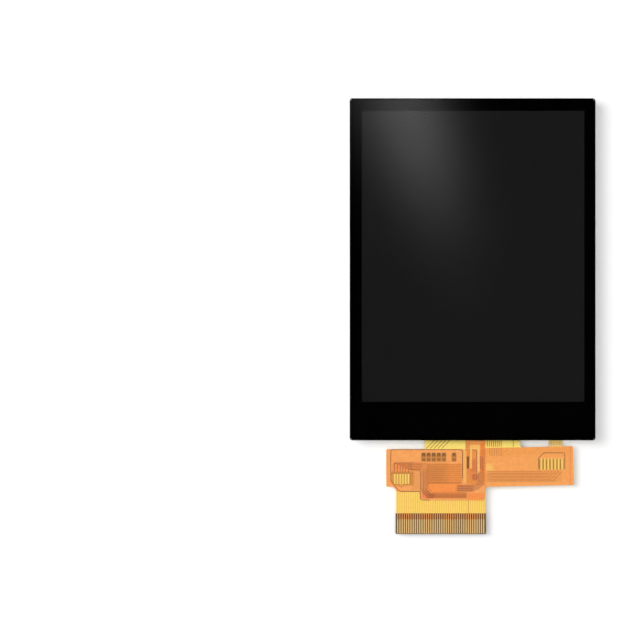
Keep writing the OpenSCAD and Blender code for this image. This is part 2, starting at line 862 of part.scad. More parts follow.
module lamp_pads() {
    color("#e5c355")
        at_lamp_pads()
            translate([-lamp_pad[0] / 2, lamp_pad_y - lamp_pad[1] / 2, cover_top_z])
                cube([lamp_pad[0], lamp_pad[1], 2 * track_t]);
}

// A row of capacitors and one by itself, behind the body.
module flex_capacitors() {
    row = [for (i = [0:capacitor_count - 1]) capacitor_x + i * capacitor_pitch];
    color("#b08d62")
        for (x = concat(row, [lone_capacitor_x]))
            translate([x, capacitor_y, flex_z - capacitor[2] / 2]) cube(capacitor, center = true);
}

// ---- Touch flex ----

// The bond on the sensor, the bend down, the neck, and the body with its slot.
module touch_flex() {
    color("#e8843c") {
        translate([touch_neck_x, touch_bend_y, touch_z]) rotate(180)
            stepped_sheet(touch_rise, touch_bend, touch_flex_t, touch_neck_w,
                touch_neck_w / 2, touch_bond_top - touch_bend_y - touch_bend_run);
        translate([0, 0, touch_z]) linear_extrude(touch_flex_t)
            polygon(rounded([
                [touch_right, touch_bend_y - bleed, 0],
                [touch_neck_left, touch_bend_y - bleed, 0],
                [touch_neck_left, slot_bottom, corner_r],
                [touch_body_right, slot_bottom, corner_r],
                [touch_body_right, touch_top, touch_corner_r],
                [touch_left, touch_top, touch_corner_r],
                [touch_left, touch_end_bottom + touch_slope[1], touch_slope_r],
                [touch_left + touch_slope[0], touch_end_bottom, touch_slope_r],
                [touch_body_left, touch_end_bottom, corner_r],
                [touch_body_left, touch_bottom, touch_foot_r],
                [touch_right, touch_bottom, touch_corner_r]
            ]));
    }
}

module at_touch_pads() {
    for (i = [0:touch_pad_count - 1])
        translate([touch_pad_x + (i - (touch_pad_count - 1) / 2) * touch_pad_pitch, 0, 0])
            children();
}

// A nested bundle of lines from the end pads, over, down the body and along its
// foot to the controller.
module touch_tracks() {
    pad_top = touch_pad_y + touch_pad[1] / 2 + pad_gap;
    slant = touch_line_slant;
    color("#9c5423")
        translate([0, 0, touch_top_z]) linear_extrude(track_t)
            for (i = [0:touch_pad_count - 1])
                let (
                    x = touch_pad_x + (i - (touch_pad_count - 1) / 2) * touch_pad_pitch,
                    run_y = pad_top + touch_line_rise - i * touch_line_pitch,
                    down_x = touch_body_left + touch_line_inset - i * touch_line_pitch,
                    low_y = touch_bottom + touch_line_foot
                        + (touch_pad_count - 1 - i) * touch_line_pitch
                )
                    track([
                        [x, pad_top], [x, run_y], [down_x - slant, run_y],
                        [down_x, run_y - slant], [down_x, low_y + slant],
                        [down_x + slant, low_y], [touch_neck_left + tape_inset, low_y]
                    ], touch_line_w);
}

module touch_pads() {
    color("#e5c355")
        at_touch_pads()
            translate([-touch_pad[0] / 2, touch_pad_y - touch_pad[1] / 2, touch_top_z])
                cube([touch_pad[0], touch_pad[1], 2 * track_t]);
}

// Double-sided tape between the two circuits.
module flex_tape() {
    color("#d8d2c4")
        span([touch_left + tape_inset, touch_end_bottom + touch_slope[1], cover_top_z],
            [touch_body_right - tape_inset, touch_top - tape_inset, cover_top_z + flex_tape_t]);
}

module touch_controller() {
    color("#26262a")
        translate([touch_neck_x, controller_y, touch_z - controller_t])
            linear_extrude(controller_t) square(controller_w, center = true);
}

module touch_capacitors() {
    color("#b08d62")
        for (side = [-1, 1])
            translate([touch_neck_x + side * controller_w / 4, small_part_y,
                    touch_z - small_part[2] / 2])
                cube(small_part, center = true);
}

cover_glass();
border_print();
sensor_adhesive();
touch_sensor();
panel_gasket();
front_polariser();
colour_filter_glass();
array_glass();
driver_chip();
rear_polariser();
rim_tape();
upper_prism_film();
lower_prism_film();
diffuser_film();
light_guide();
reflector_film();
lamp_flex();
lamps();
backlight_frame();
rear_tray();
display_flex();
display_flex_cover();
neck_tracks();
tail_tracks();
arm_tracks();
contact_fingers();
tail_stiffener();
lamp_pads();
flex_capacitors();
touch_flex();
touch_tracks();
touch_pads();
flex_tape();
touch_controller();
touch_capacitors();
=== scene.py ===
"""Dresses a 3.2-inch colour display module with a bonded touch panel.

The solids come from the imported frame. This script gives each of them its finish,
adds the fine detail of the flexible circuits, and sets up the studio.
"""
import logging
import math
from dataclasses import dataclass
from enum import Enum
from functools import partialmethod
from typing import Union

import bmesh
import bpy
from mathutils import Matrix, Vector
from mathutils.geometry import interpolate_bezier


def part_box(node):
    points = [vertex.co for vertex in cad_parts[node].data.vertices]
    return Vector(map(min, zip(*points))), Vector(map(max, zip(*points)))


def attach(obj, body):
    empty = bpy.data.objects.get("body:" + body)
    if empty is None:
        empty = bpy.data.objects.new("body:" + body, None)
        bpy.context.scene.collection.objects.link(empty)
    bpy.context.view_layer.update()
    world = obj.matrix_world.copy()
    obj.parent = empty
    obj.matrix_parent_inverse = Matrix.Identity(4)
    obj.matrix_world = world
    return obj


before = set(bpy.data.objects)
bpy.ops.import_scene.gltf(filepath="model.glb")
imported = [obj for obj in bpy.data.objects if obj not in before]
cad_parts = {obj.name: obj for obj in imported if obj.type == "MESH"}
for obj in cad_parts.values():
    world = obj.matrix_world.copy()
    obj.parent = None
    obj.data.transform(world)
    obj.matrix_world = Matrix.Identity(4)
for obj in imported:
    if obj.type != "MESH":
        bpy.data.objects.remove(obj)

log = logging.getLogger("display_module")

MM = 0.001
PRINT_T = 0.012  # thickness of a printed line, in millimetres
DISC_SIDES = 16  # sides of a round piece
CURVE_STEPS = 6  # points in the curve of a rounded corner
CURVE_REACH = 0.55  # how far that curve's handles go to the corner, as a share
SAME_PLACE = 1e-6  # distance, in millimetres, under which two points are one
SAME_SOLID = 0.01  # gap, in millimetres, under which faces belong to one solid
BODY = "root"
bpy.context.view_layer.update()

Colour = str  # as on a screen, in six hex digits
Point = tuple[float, float]
Triple = tuple[float, float, float]
Node, Socket = bpy.types.Node, bpy.types.NodeSocket
Material, World = bpy.types.Material, bpy.types.World
Number = Union["Value", float]

WHITE: Colour = "ffffff"
SLOT: Point = (16.4, 17.0)  # sides of the touch circuit's slot, from its left edge


class Slot(Enum):
    """Material slots of the record, which the new pieces are given but do not use."""

    COPPER = "covered_copper"
    SOLDER = "solder"


def linear(colour: Colour) -> Triple:
    """Turns a screen colour into the linear colour that shaders take."""
    shares = (int(colour[i:i + 2], 16) / 255 for i in (0, 2, 4))
    return tuple(s / 12.92 if s <= 0.04045 else ((s + 0.055) / 1.055) ** 2.4 for s in shares)


@dataclass(frozen=True)
class Extent:
    """The box of a solid, in millimetres."""

    low: Vector
    high: Vector

    @classmethod
    def of(cls, node: str) -> "Extent":
        """Returns the box of a node of the frame."""
        low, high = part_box(node)
        return cls(low / MM, high / MM)

    @property
    def middle(self) -> Vector:
        """The middle of the box."""
        return (self.low + self.high) / 2

    @property
    def size(self) -> Vector:
        """The three sides of the box."""
        return self.high - self.low

    @property
    def x(self) -> Point:
        """Its left and its right side."""
        return self.low.x, self.high.x

    @property
    def y(self) -> Point:
        """Its foot and its head, seen from above."""
        return self.low.y, self.high.y


def inset(sides: Point, low: float, high: float) -> Point:
    """Moves two opposite sides inwards."""
    return sides[0] + low, sides[1] - high


# ---- Materials ----


class Value:
    """A number that a material works out at each point of a surface."""

    def __init__(self, graph: "Graph", socket: Socket) -> None:
        """Keeps the graph that the number belongs to and the socket that gives it."""
        self.graph = graph
        self.socket = socket

    def sum(self, operation: str, *others: Number, clamp: bool = False) -> "Value":
        """Adds a Math node that works on this number.

        Args:
            operation: The Math node's operation.
            others: Its other operands.
            clamp: Whether the result is held between 0 and 1.

        Returns:
            The result.
        """
        node = self.graph.add("ShaderNodeMath", operation=operation, use_clamp=clamp)
        for socket, operand in zip(node.inputs, (self, *others)):
            self.graph.feed(socket, operand)
        return Value(self.graph, node.outputs[0])

    # The methods that differ in their operation alone.
    __add__ = partialmethod(sum, "ADD")
    __sub__ = partialmethod(sum, "SUBTRACT")
    __mul__ = partialmethod(sum, "MULTIPLY")
    lesser = partialmethod(sum, "MINIMUM")
    greater = partialmethod(sum, "MAXIMUM")
    size = partialmethod(sum, "ABSOLUTE")

    def above(self, edge: Number, soft: float) -> "Value":
        """A share that rises from 0 to 1 round an edge, over the distance soft."""
        return (self - edge).sum("MULTIPLY_ADD", 1 / soft, 0.5, clamp=True)

    def below(self, edge: Number, soft: float) -> "Value":
        """A share that falls from 1 to 0 round an edge, over the distance soft."""
        return (self - edge).sum("MULTIPLY_ADD", -1 / soft, 0.5, clamp=True)

    def line(self, pitch: float, width: float, start: float, soft: float) -> "Value":
        """A share that is 1 on each of a row of lines, of which one has its middle at start."""
        turn = ((self - start) * (1 / pitch) + 0.5).sum("FRACT")
        return ((turn - 0.5).size() * pitch).below(width / 2, soft)


class Graph:
    """The nodes of a material or a world, with short ways to add what patterns need."""

    def __init__(self, owner: Material | World) -> None:
        """Starts with no nodes but the output.

        Args:
            owner: The material or the world that the nodes belong to.
        """
        owner.use_nodes = True
        self.owner = owner
        self.tree = owner.node_tree
        self.tree.nodes.clear()
        kind = "Material" if isinstance(owner, Material) else "World"
        self.output = self.add(f"ShaderNodeOutput{kind}")
        self._place: list[Value] = []
        self._rays: Node | None = None

    def add(self, kind: str, **settings: object) -> Node:
        """Adds a node and sets its properties."""
        node = self.tree.nodes.new(kind)
        for name, setting in settings.items():
            setattr(node, name, setting)
        return node

    def feed(self, socket: Socket, source: object) -> None:
        """Links a socket to a value or a socket, or sets it.

        Args:
            socket: The input to feed.
            source: A Value, a socket, a number, a screen colour, or a linear one with its alpha.
        """
        if isinstance(source, Value):
            source = source.socket
        if isinstance(source, Socket):
            self.tree.links.new(source, socket)
        elif isinstance(source, str):
            socket.default_value = (*linear(source), 1)
        else:
            socket.default_value = source

    def mapped(self, scale: Triple = (1, 1, 1)) -> Socket:
        """The place on the piece in millimetres, stretched along each axis by scale."""
        where = self.add("ShaderNodeTexCoord")
        mapping = self.add("ShaderNodeMapping")
        self.feed(mapping.inputs["Scale"], tuple(s / MM for s in scale))
        self.feed(mapping.inputs["Vector"], where.outputs["Object"])
        return mapping.outputs[0]

    def place(self) -> list[Value]:
        """X, Y and Z on the piece, in millimetres."""
        if not self._place:
            split = self.add("ShaderNodeSeparateXYZ")
            self.feed(split.inputs[0], self.mapped())
            self._place = [Value(self, socket) for socket in split.outputs]
        return self._place

    def noise(self, scale: float, detail: float = 3, stretch: Triple = (1, 1, 1)) -> Value:
        """Cloudy noise from 0 to 1.

        Args:
            scale: Clouds to a millimetre.
            detail: Layers of finer clouds.
            stretch: How much finer the clouds are along each axis.

        Returns:
            The noise.
        """
        node = self.add("ShaderNodeTexNoise")
        self.feed(node.inputs["Vector"], self.mapped(stretch))
        self.feed(node.inputs["Scale"], scale)
        self.feed(node.inputs["Detail"], detail)
        return Value(self, node.outputs["Fac"])

    def blend(self, share: Value, first: object, second: object) -> Socket:
        """Goes from a first colour to a second as the share goes from 0 to 1."""
        node = self.add("ShaderNodeMix", data_type="RGBA")
        self.feed(node.inputs["Factor"], share)
        self.feed(node.inputs["A"], first)
        self.feed(node.inputs["B"], second)
        return node.outputs["Result"]

    def mix(self, share: Value, first: Node, second: Node) -> Node:
        """Adds a shader that goes from the first to the second with the share."""
        node = self.add("ShaderNodeMixShader")
        for socket, source in zip(node.inputs, (share, first.outputs[0], second.outputs[0])):
            self.feed(socket, source)
        return node

    def steep(self, limit: float = 0.35) -> Value:
        """A share that is 1 on faces whose normal rises less than the limit, and else 0."""
        split = self.add("ShaderNodeSeparateXYZ")
        self.feed(split.inputs[0], self.add("ShaderNodeNewGeometry").outputs["True Normal"])
        return Value(self, split.outputs["Z"]).size().below(limit, 0.05)

    def ray(self, kind: str) -> Value:
        """A share that is 1 for rays of that kind, such as Camera or Glossy."""
        if self._rays is None:
            self._rays = self.add("ShaderNodeLightPath")
        return Value(self, self._rays.outputs[f"Is {kind} Ray"])

    def bump(self, height: Value, depth: float) -> Socket:
        """A normal that is tilted as a surface of that height would be.

        Args:
            height: Height, from 0 to 1.
            depth: Millimetres from a height of 0 to one of 1.

        Returns:
            The normal.
        """
        node = self.add("ShaderNodeBump")
        self.feed(node.inputs["Strength"], 1.0)
        self.feed(node.inputs["Distance"], depth * MM)
        self.feed(node.inputs["Height"], height)
        return node.outputs[0]

    def principled(self, **inputs: object) -> Node:
        """Adds the main shader and feeds its inputs, named with _ for a space."""
        node = self.add("ShaderNodeBsdfPrincipled")
        for name, source in inputs.items():
            self.feed(node.inputs[name.replace("_", " ")], source)
        return node

    def show(self, shader: Node) -> Material | World:
        """Sends a shader to the output and returns the material or the world."""
        self.tree.links.new(shader.outputs[0], self.output.inputs["Surface"])
        return self.owner


@dataclass(frozen=True)
class Zone:
    """A field of one colour on a film."""

    what: str
    x: Point  # its sides, in millimetres in the module's own frame
    y: Point  # its foot and its head
    colour: Colour
    soft: float = 0.12  # softness of its edges, in millimetres
    share: float = 1.0  # how much of the colour shows
    radius: float = 0.0  # radius of its corners
    outline: float = 0.0  # width of its outline, or 0 where it is filled
    ruled: Point | None = None  # distance between lines that rule it and width of one, or None
    upright: bool = False  # whether such lines run along Y

    def mask(self, graph: Graph) -> Value:
        """The share of the zone's colour at each point."""
        across, up, _ = graph.place()
        beyond = [
            (along - (low + high) / 2).size() - ((high - low) / 2 - self.radius)
            for along, (low, high) in ((across, self.x), (up, self.y))
        ]
        outside = beyond[0].greater(beyond[1])
        if self.radius:
            corner = [value.greater(0) for value in beyond]
            reach = (corner[0] * corner[0] + corner[1] * corner[1]).sum("SQRT")
            outside = reach + outside.lesser(0) - self.radius
        if self.outline:
            outside = outside.size() - self.outline / 2
        share = outside.below(0, self.soft) * self.share
        if self.ruled:
            pitch, width = self.ruled
            along, first = (across, self.x[0]) if self.upright else (up, self.y[0])
            share = share * along.line(pitch, width, first + pitch / 2, width / 2)
        return share


@dataclass(frozen=True)
class Corner:
    """A corner that places are measured from, to the right and down, in millimetres."""

    x: float
    y: float

    def at(self, right: float, down: float) -> Point:
        """The place that far to the right and that far down."""
        return self.x + right, self.y - down

    def zone(self, what: str, sides: Point, down: Point, colour: Colour, **look: object) -> Zone:
        """A zone given by its sides, and by how far down its foot and its head are."""
        (left, foot), (right, head) = self.at(sides[0], down[0]), self.at(sides[1], down[1])
        return Zone(what, (left, right), (foot, head), colour, **look)


@dataclass(frozen=True)
class Finish:
    """What a piece is finished in."""

    name: str  # of the material

    def make(self) -> Material:
        """Makes the material."""
        graph = Graph(bpy.data.materials.new(self.name))
        return graph.show(self.shader(graph))

    def shader(self, graph: Graph) -> Node:
        """Adds the shader, which each kind of finish has of its own."""
        raise NotImplementedError


@dataclass(frozen=True)
class Film(Finish):
    """Polyimide film of a flexible circuit, as it looks over what lies in it."""

    colour: Colour  # the colour of the plain film
    zones: tuple[Zone, ...] = ()  # fields of other colours, the last on top
    edge: Colour = "b0702c"  # the colour of its cut edges
    shade: Colour = "bc5c12"  # the colour that its darker clouds go to
    grain: float = 0.26  # how strongly those clouds show
    roughness: float = 0.38  # roughness of the film

    def shader(self, graph: Graph) -> Node:
        """Adds the shader."""
        clouds = graph.noise(1.1, 4)
        mottle = graph.noise(3.1, 2, (1.0, 1.6, 1.0))
        fine = graph.noise(9, 3)
        colour: object = self.colour
        for zone in self.zones:
            colour = graph.blend(zone.mask(graph), colour, zone.colour)
            colour.node.label = zone.what
        colour = graph.blend(graph.steep(), colour, self.edge)
        # Clouds in the film and the unevenness of the copper below it shade every field.
        shade = (clouds * 0.35 + mottle * 0.65).above(0.53, 0.3) * self.grain
        return graph.principled(
            Base_Color=graph.blend(shade, colour, self.shade),
            Roughness=(fine - 0.5) * 0.12 + self.roughness,
            Normal=graph.bump(clouds + fine * 0.3, 0.003),
            Specular_IOR_Level=0.16,
            Coat_Weight=0.05,
            Coat_Roughness=0.2,
        )


@dataclass(frozen=True)
class Metal(Finish):
    """Plated, tinned or rolled metal."""

    colour: Colour
    dull: Colour  # the colour that it has in its duller patches
    roughness: float
    metallic: float = 1.0  # how much it mirrors as a metal does
    stretch: Triple = (1, 1, 1)  # how much finer the grain is along each axis
    grain: float = 6.0  # grains to a millimetre
    depth: float = 0.002  # depth of the grain, in millimetres

    def shader(self, graph: Graph) -> Node:
        """Adds the shader."""
        grain = graph.noise(self.grain, 4, self.stretch)
        patches = graph.noise(0.12, 3)
        return graph.principled(
            Base_Color=graph.blend(patches.above(0.55, 0.35), self.colour, self.dull),
            Metallic=self.metallic,
            Roughness=grain * 0.16 + patches * 0.12 + (self.roughness - 0.14),
            Normal=graph.bump(grain, self.depth),
        )


@dataclass(frozen=True)
class Plastic(Finish):
    """A moulding, a laminate, a tape or a coating with an even colour."""

    colour: Colour
    worn: Colour  # the colour of its lighter or duller patches
    roughness: float
    grain: float = 8.0  # grains to a millimetre
    depth: float = 0.004  # depth of the grain, in millimetres
    milky: float = 0.0  # how much light wanders under its surface
    shine: float = 0.5  # how strongly its surface mirrors, 0 where it is bonded to glass

    def shader(self, graph: Graph) -> Node:
        """Adds the shader."""
        grain = graph.noise(self.grain, 4)
        patches = graph.noise(0.25, 3)
        return graph.principled(
            Base_Color=graph.blend(patches.above(0.55, 0.5), self.colour, self.worn),
            Roughness=grain * 0.2 + (self.roughness - 0.1),
            Normal=graph.bump(grain, self.depth),
            Subsurface_Weight=self.milky,
            Subsurface_Scale=0.4 * MM,
            Specular_IOR_Level=self.shine,
        )


@dataclass(frozen=True)
class CoverGlass(Finish):
    """Clear strengthened glass with a ground edge that lets no light through."""

    print_box: Extent  # the box of the print behind it; the rim outside it is inked too
    index: float = 1.5  # refractive index
    ink: Colour = "010101"  # the colour of that ink
    edge: Colour = "040505"  # the colour of the ground edge

    def shader(self, graph: Graph) -> Node:
        """Adds the shader."""
        clear = graph.add("ShaderNodeBsdfTransparent")
        shine = graph.add("ShaderNodeBsdfGlossy")
        smears = graph.noise(0.08, 3)
        graph.feed(shine.inputs["Color"], WHITE)
        graph.feed(shine.inputs["Roughness"], smears * 0.02)
        mirror = graph.add("ShaderNodeFresnel")
        graph.feed(mirror.inputs["IOR"], self.index)
        behind = Value(graph, graph.add("ShaderNodeNewGeometry").outputs["Backfacing"])
        share = Value(graph, mirror.outputs[0]) * ((behind * -1) + 1)
        inked = graph.add("ShaderNodeBsdfDiffuse")
        graph.feed(inked.inputs["Color"], self.ink)
        across, up, _ = graph.place()
        middle, reach = self.print_box.middle, self.print_box.size / 2
        rim = ((across - middle.x).size() - reach.x).greater((up - middle.y).size() - reach.y)
        behind_face = graph.mix(rim.above(-0.06, 0.02), clear, inked)
        flat = graph.mix(share, behind_face, shine)
        ground = graph.noise(20, 2)
        edge = graph.principled(
            Base_Color=self.edge,
            Roughness=ground * 0.2 + 0.45,
            Normal=graph.bump(ground, 0.003),
            Specular_IOR_Level=0.0,
        )
        return graph.mix(graph.steep(0.9), flat, edge)


@dataclass(frozen=True)
class DarkScreen(Finish):
    """The unlit screen, seen through its clear bond: near black, with fine dots."""

    colour: Colour = "1b1b1b"  # the colour of the dark screen
    gap: Colour = "171718"  # the colour of the black lines between its dots
    pitch: float = 0.2025  # distance from one dot to the next, in millimetres
    layers: float = 0.21  # how strongly the layers behind the glass mirror

    def shader(self, graph: Graph) -> Node:
        """Adds the shader."""
        across, up, _ = graph.place()
        lines = across.line(self.pitch / 3, self.pitch / 12, 0, self.pitch / 20)
        rows = up.line(self.pitch, self.pitch / 8, 0, self.pitch / 20)
        return graph.principled(
            Base_Color=graph.blend(lines.greater(rows), self.colour, self.gap),
            Roughness=graph.noise(3) * 0.02 + 0.02,
            Specular_IOR_Level=self.layers,
        )


@dataclass(frozen=True)
class ChipPart(Finish):
    """A small ceramic part with a tinned cap at each end."""

    length: float  # length of a part, in millimetres
    middles: tuple[float, ...]  # the middles of the parts, along their length
    cap: float = 0.38  # length of a cap
    upright: bool = False  # whether the parts lie along Y
    ceramic: Colour = "96704a"  # the colour of the body between the caps
    tin: Colour = "ceccc6"  # the colour of the caps

    def shader(self, graph: Graph) -> Node:
        """Adds the shader."""
        along = graph.place()[1 if self.upright else 0]
        near = (along - self.middles[0]).size()
        for middle in self.middles[1:]:
            near = near.lesser((along - middle).size())
        tinned = near.above(self.length / 2 - self.cap, 0.03)
        grain = graph.noise(9, 4)
        return graph.principled(
            Base_Color=graph.blend(tinned, self.ceramic, self.tin),
            Metallic=tinned,
            Roughness=grain * 0.2 + 0.28,
            Normal=graph.bump(grain, 0.006),
        )


@dataclass(frozen=True)
class HoleRow:
    """A row of plated holes."""

    count: int  # how many they are
    pitch: float  # distance from one to the next, in millimetres
    radius: float  # radius of one
    zigzag: float = 0.0  # how much lower every second one is


# ---- Shapes ----


class Shape:
    """A mesh that is put together from lines and discs on a level face, in millimetres."""

    def __init__(self, foot: float) -> None:
        """Starts with nothing, on a face at that height."""
        self.mesh = bmesh.new()
        self.foot = foot

    def disc(self, x: float, y: float, radius: float, height: float = 2 * PRINT_T,
             top: float = 0.7) -> None:
        """Adds a disc.

        Args:
            x: Its middle along X.
            y: Its middle along Y.
            radius: Radius of its foot.
            height: Its height.
            top: Radius of its head as a share of its foot's.
        """
        middle = Matrix.Translation((x, y, self.foot + height / 2))
        bmesh.ops.create_cone(
            self.mesh, cap_ends=True, segments=DISC_SIDES, radius1=radius,
            radius2=radius * top, depth=height, matrix=middle,
        )

    def holes(self, row: HoleRow, x: float, y: float) -> None:
        """Adds the rims of a row of holes, from its left end."""
        for i in range(row.count):
            self.disc(x + i * row.pitch, y - row.zigzag * (i % 2), row.radius)

    def ribbon(self, points: list[Point], width: float, bend: float = 0.0,
               height: float = PRINT_T) -> None:
        """Draws a flat line along points.

        Args:
            points: The points, in order.
            width: Width of the line.
            bend: How far from a corner its curve starts, or 0 where corners are sharp.
            height: Its thickness.
        """
        places = [Vector(point) for point in (rounded(points, bend) if bend else points)]
        ways = [(b - a).normalized() for a, b in zip(places, places[1:])]
        edge, faces = None, []
        for i, place in enumerate(places):
            before, after = ways[max(i - 1, 0)], ways[min(i, len(ways) - 1)]
            mean = (before + after).normalized()
            side = Vector((-mean.y, mean.x)) * (width / 2 / mean.dot(after))
            ends = [Vector((*(place + side), self.foot)), Vector((*(place - side), self.foot))]
            if edge is None:
                edge = self.mesh.edges.new([self.mesh.verts.new(end) for end in ends])
                continue
            start = edge.verts[0].co.copy()
            made = bmesh.ops.extrude_edge_only(self.mesh, edges=[edge])["geom"]
            edge = next(item for item in made if isinstance(item, bmesh.types.BMEdge))
            faces += [item for item in made if isinstance(item, bmesh.types.BMFace)]
            same = (edge.verts[0].co - start).length < SAME_PLACE
            for vert, end in zip(edge.verts, ends if same else ends[::-1]):
                vert.co = end
        lifted = bmesh.ops.extrude_face_region(self.mesh, geom=faces)["geom"]
        verts = [item for item in lifted if isinstance(item, bmesh.types.BMVert)]
        bmesh.ops.translate(self.mesh, vec=(0, 0, height), verts=verts)

    def finish(self, name: str, finish: Finish, slot: Slot = Slot.COPPER) -> None:
        """Makes the piece, with its place in its mesh, and sets it on the module.

        Args:
            name: The piece's name.
            finish: What it is finished in.
            slot: The record's material slot that it belongs to; not used.
        """
        bmesh.ops.transform(self.mesh, matrix=Matrix.Scale(MM, 4), verts=self.mesh.verts)
        bmesh.ops.recalc_face_normals(self.mesh, faces=self.mesh.faces)
        data = bpy.data.meshes.new(name)
        self.mesh.to_mesh(data)
        self.mesh.free()
        data.materials.append(finish.make())
        piece = bpy.data.objects.new(name, data)
        bpy.context.scene.collection.objects.link(piece)
        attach(piece, BODY)
        log.info("piece %s: %d faces", name, len(data.polygons))


def rounded(points: list[Point], bend: float) -> list[Point]:
    """Rounds each corner of a line.

    Args:
        points: The line's points, in order.
        bend: How far from its corner each curve starts.

    Returns:
        The points of the rounded line.
    """
    places = [Vector((*point, 0)) for point in points]
    line = [places[0]]
    for before, at, after in zip(places, places[1:], places[2:]):
        start = at + (before - at).normalized() * bend
        end = at + (after - at).normalized() * bend
        handles = start.lerp(at, CURVE_REACH), end.lerp(at, CURVE_REACH)
        line += interpolate_bezier(start, *handles, end, CURVE_STEPS)
    return [tuple(place.xy) for place in (*line, places[-1])]


def dress(finish: Finish, *nodes: str) -> None:
    """Gives solids of the frame their finish.

    Args:
        finish: The finish.
        nodes: The nodes that have it.
    """
    material = finish.make()
    for node in nodes:
        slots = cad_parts[node].data.materials
        slots.clear()
        slots.append(material)
        log.info("finish %s: %s", node, material.name)


def solids_along_x(node: str) -> list[Point]:
    """Finds the sides of each of a row of solids that share a node.

    Args:
        node: The node.

    Returns:
        The lowest and highest X of each solid, in millimetres, from the left.
    """
    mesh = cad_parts[node].data
    runs = sorted(
        (min(xs), max(xs))
        for xs in ([mesh.vertices[i].co.x / MM for i in face.vertices] for face in mesh.polygons)
    )
    found: list[Point] = []
    for low, high in runs:
        if found and low <= found[-1][1] + SAME_SOLID:
            found[-1] = (found[-1][0], max(found[-1][1], high))
        else:
            found.append((low, high))
    return found


# ---- Sub-assemblies ----


@dataclass
class TouchPanel:
    """The cover glass, its print, its bond, the sensor and the gasket."""

    film_grain: float = 0.001  # depth of the grain of its films, in millimetres
    foam_grain: float = 0.006  # depth of the grain of its foam

    def build(self) -> None:
        """Dresses the pieces."""
        dress(CoverGlass("cover_glass", Extent.of("border_print")), "cover_glass")
        dress(Plastic("border_ink", "010101", "030303", 0.6, depth=self.film_grain, shine=0.0),
              "border_print")
        dress(DarkScreen("dark_screen"), "sensor_adhesive")
        dress(Plastic("sensor_film", "1e2424", "282e2e", 0.25, depth=self.film_grain), "touch_sensor")
        dress(Plastic("black_foam", "161616", "202020", 0.85, grain=12, depth=self.foam_grain),
              "panel_gasket")


@dataclass
class Cell:
    """The two glasses of the cell, their polarisers and the driver chip."""

    grain: float = 0.001  # depth of the grain of its glass and its films, in millimetres

    def build(self) -> None:
        """Dresses the pieces."""
        dress(Plastic("cell_glass", "546866", "607470", 0.15, depth=self.grain),
              "colour_filter_glass", "array_glass")
        dress(Plastic("polariser", "222226", "2a2a2e", 0.3, depth=self.grain),
              "front_polariser", "rear_polariser")
        dress(Metal("driver_silicon", "464850", "383a44", 0.25, metallic=0.6), "driver_chip")


@dataclass
class Backlight:
    """The lamps, the light guide and its films, the frame and the tray."""

    lamp_lines: Point = (0.62, 0.24)  # pitch and width of the copper lines in the lamps' circuit

    def build(self) -> None:
        """Dresses the pieces."""
        dress(Metal("rolled_steel", "c4c6c8", "bbbdc0", 0.36,
                    stretch=(1, 0.006, 1), grain=2.4, depth=0.0008), "rear_tray")
        dress(Plastic("white_moulding", "e8e8e2", "deded6", 0.42, milky=0.3), "backlight_frame")
        dress(Plastic("black_tape", "121212", "1a1a1a", 0.7), "rim_tape")
        dress(Plastic("prism_film", "d6dce0", "ccd2d8", 0.3), "upper_prism_film", "lower_prism_film")
        dress(Plastic("diffuser_film", "eeeeea", "e6e6e2", 0.5), "diffuser_film")
        dress(Plastic("clear_acrylic", "e2ecec", "d8e4e4", 0.12), "light_guide")
        dress(Plastic("white_film", "f0f0ec", "eaeae6", 0.3), "reflector_film")
        dress(Plastic("lamp_body", "ecd678", "f0ecdc", 0.4), "lamps")
        flex = Extent.of("lamp_flex")
        # The tab's film and its copper lines are lighter than their own colours: painted light that
        # offsets the glass's shadow over the tab.
        lines = Zone("copper lines", flex.x, flex.y, "ffeea8", ruled=self.lamp_lines,
                     upright=True, share=0.8)
        dress(Film("lamp_film", "ffd67e", zones=(lines,), grain=0.1), "lamp_flex")


